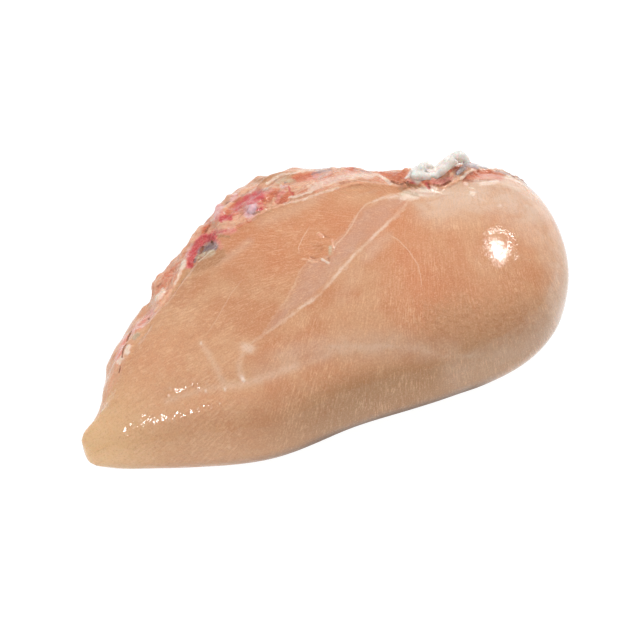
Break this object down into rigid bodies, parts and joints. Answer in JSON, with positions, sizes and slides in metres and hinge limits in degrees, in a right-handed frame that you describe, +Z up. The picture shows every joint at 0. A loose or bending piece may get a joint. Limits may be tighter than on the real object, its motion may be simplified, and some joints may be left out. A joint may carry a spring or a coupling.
{
  "type": "chicken breast",
  "caption": "Raw skinless, boneless chicken breast half lying flat: thin tip, thick round wing end, smooth top with silverskin, ragged trimmed far side and a curled tendon",
  "frame": {"origin": "bottom centre of the bounding box, where the breast rests", "axes": "+X from the thin tip to the thick wing end, +Y towards the cut and trimmed far side, -Y towards the tall smooth flank, +Z up"},
  "size_m": [0.168, 0.1106, 0.0432],
  "materials": {
    "raw_flesh": "wet raw chicken flesh, pale peach pink, fine fibres, with silverskin, fat and red trimmings"
  },
  "bodies": {
    "root": {"breast": "raw_flesh"}
  },
  "joints": []
}
